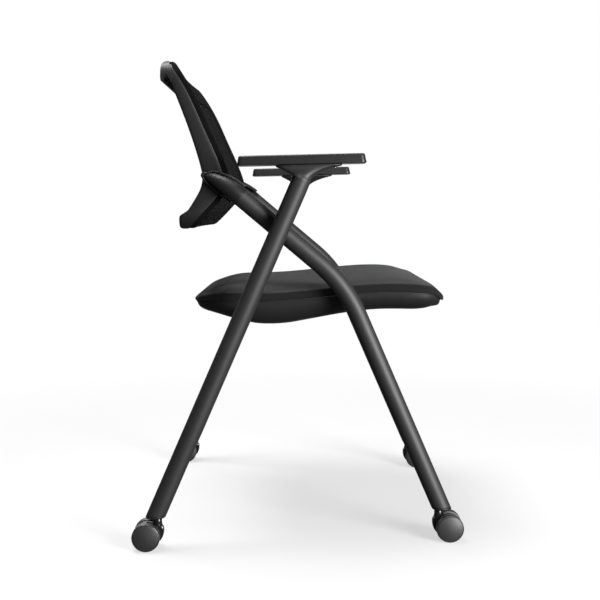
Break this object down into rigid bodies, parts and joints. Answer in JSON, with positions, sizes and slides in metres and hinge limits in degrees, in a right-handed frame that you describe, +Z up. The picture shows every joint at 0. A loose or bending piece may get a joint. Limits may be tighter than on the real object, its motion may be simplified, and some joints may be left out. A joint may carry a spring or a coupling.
{
  "type": "nesting chair",
  "caption": "Nesting chair on crossed tubular legs with twin-wheel swivel casters, a flip-up padded seat, a curved mesh back and short arm pads.",
  "frame": {"origin": "on the floor, under the middle of the chair's overall length and width", "axes": "+X towards the front of the chair, +Y the sitter's left, +Z up"},
  "size_m": [0.5772, 0.6498, 0.843],
  "materials": {
    "black_steel": "satin black powder coat",
    "zinc_steel": "bright zinc plate",
    "black_plastic": "moulded, fine leather grain, matte",
    "gloss_black_plastic": "moulded, polished",
    "arm_pad_plastic": "soft moulded skin, fine grain",
    "wheel_nylon": "satin nylon",
    "bumper_rubber": "moulded, matte",
    "back_mesh": "open woven mesh",
    "seat_fabric": "tight woven upholstery",
    "seat_board": "moulded plywood, bare"
  },
  "bodies": {
    "frame": {"left_rear_leg": "black_steel", "left_front_leg": "black_steel", "left_leg_spacer": "black_steel", "left_rear_leg_plug": "black_plastic", "left_front_leg_plug": "black_plastic", "left_seat_bumper": "bumper_rubber", "left_back_connector": "black_plastic", "left_back_screw": "zinc_steel", "left_arm_bracket": "black_steel", "left_arm_pad": "arm_pad_plastic", "left_front_arm_screw": "zinc_steel", "left_rear_arm_screw": "zinc_steel", "right_rear_leg": "black_steel", "right_front_leg": "black_steel", "right_leg_spacer": "black_steel", "right_rear_leg_plug": "black_plastic", "right_front_leg_plug": "black_plastic", "right_seat_bumper": "bumper_rubber", "right_back_connector": "black_plastic", "right_back_screw": "zinc_steel", "right_arm_bracket": "black_steel", "right_arm_pad": "arm_pad_plastic", "right_front_arm_screw": "zinc_steel", "right_rear_arm_screw": "zinc_steel", "seat_pivot_bar": "black_steel", "front_cross_bar": "black_steel", "back_frame": "black_plastic", "mesh_carrier": "black_plastic", "back_mesh": "back_mesh", "left_rear_caster_stem": "zinc_steel", "left_front_caster_stem": "zinc_steel", "right_rear_caster_stem": "zinc_steel", "right_front_caster_stem": "zinc_steel"},
    "seat": {"seat_cushion": "seat_fabric", "seat_pan": "seat_board", "seat_shell": "black_plastic", "left_pivot_bush": "black_plastic", "left_pivot_clamp": "zinc_steel", "right_pivot_bush": "black_plastic", "right_pivot_clamp": "zinc_steel"},
    "left_rear_caster": {"left_rear_caster_hood": "gloss_black_plastic", "left_rear_caster_axle": "zinc_steel"},
    "left_rear_outer_wheel": {"left_rear_outer_wheel": "wheel_nylon"},
    "left_rear_inner_wheel": {"left_rear_inner_wheel": "wheel_nylon"},
    "left_front_caster": {"left_front_caster_hood": "gloss_black_plastic", "left_front_caster_axle": "zinc_steel"},
    "left_front_outer_wheel": {"left_front_outer_wheel": "wheel_nylon"},
    "left_front_inner_wheel": {"left_front_inner_wheel": "wheel_nylon"},
    "right_rear_caster": {"right_rear_caster_hood": "gloss_black_plastic", "right_rear_caster_axle": "zinc_steel"},
    "right_rear_outer_wheel": {"right_rear_outer_wheel": "wheel_nylon"},
    "right_rear_inner_wheel": {"right_rear_inner_wheel": "wheel_nylon"},
    "right_front_caster": {"right_front_caster_hood": "gloss_black_plastic", "right_front_caster_axle": "zinc_steel"},
    "right_front_outer_wheel": {"right_front_outer_wheel": "wheel_nylon"},
    "right_front_inner_wheel": {"right_front_inner_wheel": "wheel_nylon"}
  },
  "joints": [
    {"name": "seat_flip", "type": "hinge", "parent": "frame", "child": "seat", "pos_m": [-0.09941, 0, 0.4005], "axis": [0, -1, 0], "range_deg": [0, 80]},
    {"name": "left_rear_swivel", "type": "hinge", "parent": "frame", "child": "left_rear_caster", "pos_m": [-0.2459, 0.2988, 0.0242], "axis": [0, 0, 1], "continuous": true},
    {"name": "left_rear_outer_roll", "type": "hinge", "parent": "left_rear_caster", "child": "left_rear_outer_wheel", "pos_m": [-0.2644, 0.2988, 0.0242], "axis": [0, 1, 0], "continuous": true},
    {"name": "left_rear_inner_roll", "type": "hinge", "parent": "left_rear_caster", "child": "left_rear_inner_wheel", "pos_m": [-0.2644, 0.2988, 0.0242], "axis": [0, 1, 0], "continuous": true},
    {"name": "left_front_swivel", "type": "hinge", "parent": "frame", "child": "left_front_caster", "pos_m": [0.2459, 0.2505, 0.0242], "axis": [0, 0, 1], "continuous": true},
    {"name": "left_front_outer_roll", "type": "hinge", "parent": "left_front_caster", "child": "left_front_outer_wheel", "pos_m": [0.2644, 0.2505, 0.0242], "axis": [0, 1, 0], "continuous": true},
    {"name": "left_front_inner_roll", "type": "hinge", "parent": "left_front_caster", "child": "left_front_inner_wheel", "pos_m": [0.2644, 0.2505, 0.0242], "axis": [0, 1, 0], "continuous": true},
    {"name": "right_rear_swivel", "type": "hinge", "parent": "frame", "child": "right_rear_caster", "pos_m": [-0.2459, -0.2988, 0.0242], "axis": [0, 0, 1], "continuous": true},
    {"name": "right_rear_outer_roll", "type": "hinge", "parent": "right_rear_caster", "child": "right_rear_outer_wheel", "pos_m": [-0.2644, -0.2988, 0.0242], "axis": [0, 1, 0], "continuous": true},
    {"name": "right_rear_inner_roll", "type": "hinge", "parent": "right_rear_caster", "child": "right_rear_inner_wheel", "pos_m": [-0.2644, -0.2988, 0.0242], "axis": [0, 1, 0], "continuous": true},
    {"name": "right_front_swivel", "type": "hinge", "parent": "frame", "child": "right_front_caster", "pos_m": [0.2459, -0.2505, 0.0242], "axis": [0, 0, 1], "continuous": true},
    {"name": "right_front_outer_roll", "type": "hinge", "parent": "right_front_caster", "child": "right_front_outer_wheel", "pos_m": [0.2644, -0.2505, 0.0242], "axis": [0, 1, 0], "continuous": true},
    {"name": "right_front_inner_roll", "type": "hinge", "parent": "right_front_caster", "child": "right_front_inner_wheel", "pos_m": [0.2644, -0.2505, 0.0242], "axis": [0, 1, 0], "continuous": true}
  ]
}
